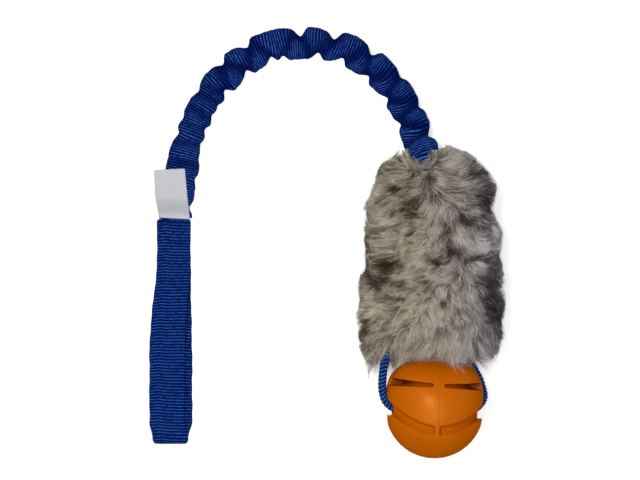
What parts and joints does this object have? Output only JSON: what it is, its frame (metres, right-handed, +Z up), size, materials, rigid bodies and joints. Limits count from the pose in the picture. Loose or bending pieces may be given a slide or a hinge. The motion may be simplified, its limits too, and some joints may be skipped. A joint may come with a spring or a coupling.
{
  "type": "bungee tug toy",
  "caption": "Dog tug toy: a folded webbing hand loop, a ruched elastic bungee, a stuffed fur tug and a grooved rubber ball that spins on a cord loop.",
  "frame": {"origin": "on the ground, under the middle of the box of the handle, label, fur, cord and ball; the bungee is left out of that box", "axes": "the toy lies down: +X from the handle to the fur, +Y towards the crown of the bungee's arch, +Z up from the ground"},
  "size_m": [0.2345, 0.2874, 0.0656],
  "materials": {
    "navy_webbing": "ribbed tubular webbing",
    "white_satin": "woven satin, bare",
    "white_elastic": "braided elastic cord",
    "mottled_fur": "long mottled pile",
    "white_wadding": "loose wadding",
    "black_strapping": "flat webbing",
    "blue_braid": "twisted cord",
    "orange_rubber": "satin moulded rubber"
  },
  "bodies": {
    "tug": {"fur_cover": "mottled_fur", "fur_filling": "white_wadding", "inner_strap": "black_strapping"},
    "bungee": {"bungee_sleeve": "navy_webbing", "bungee_core": "white_elastic", "sewn_label": "white_satin"},
    "handle": {"handle_webbing": "navy_webbing"},
    "ball_loop": {"ball_cord": "blue_braid"},
    "ball": {"ball": "orange_rubber"}
  },
  "joints": [
    {"name": "bungee_stretch", "type": "slide", "parent": "tug", "child": "bungee", "axis": [0, -1, 0], "range_m": [0, 0.15], "stiffness_N_per_m": 60, "deforming": ["bungee_sleeve", "bungee_core"]},
    {"name": "handle_flip", "type": "hinge", "parent": "bungee", "child": "handle", "pos_m": [-0.101, 0.0571, 0.0077], "axis": [1, 0, 0], "range_deg": [-100, 60]},
    {"name": "ball_swing", "type": "hinge", "parent": "tug", "child": "ball_loop", "pos_m": [0.073, -0.0321, 0.0328], "axis": [1, 0, 0], "range_deg": [-40, 30], "deforming": ["ball_cord"]},
    {"name": "ball_spin", "type": "hinge", "parent": "ball_loop", "child": "ball", "pos_m": [0.073, -0.0701, 0.0328], "axis": [0.9966, 0, -0.0819], "continuous": true}
  ]
}
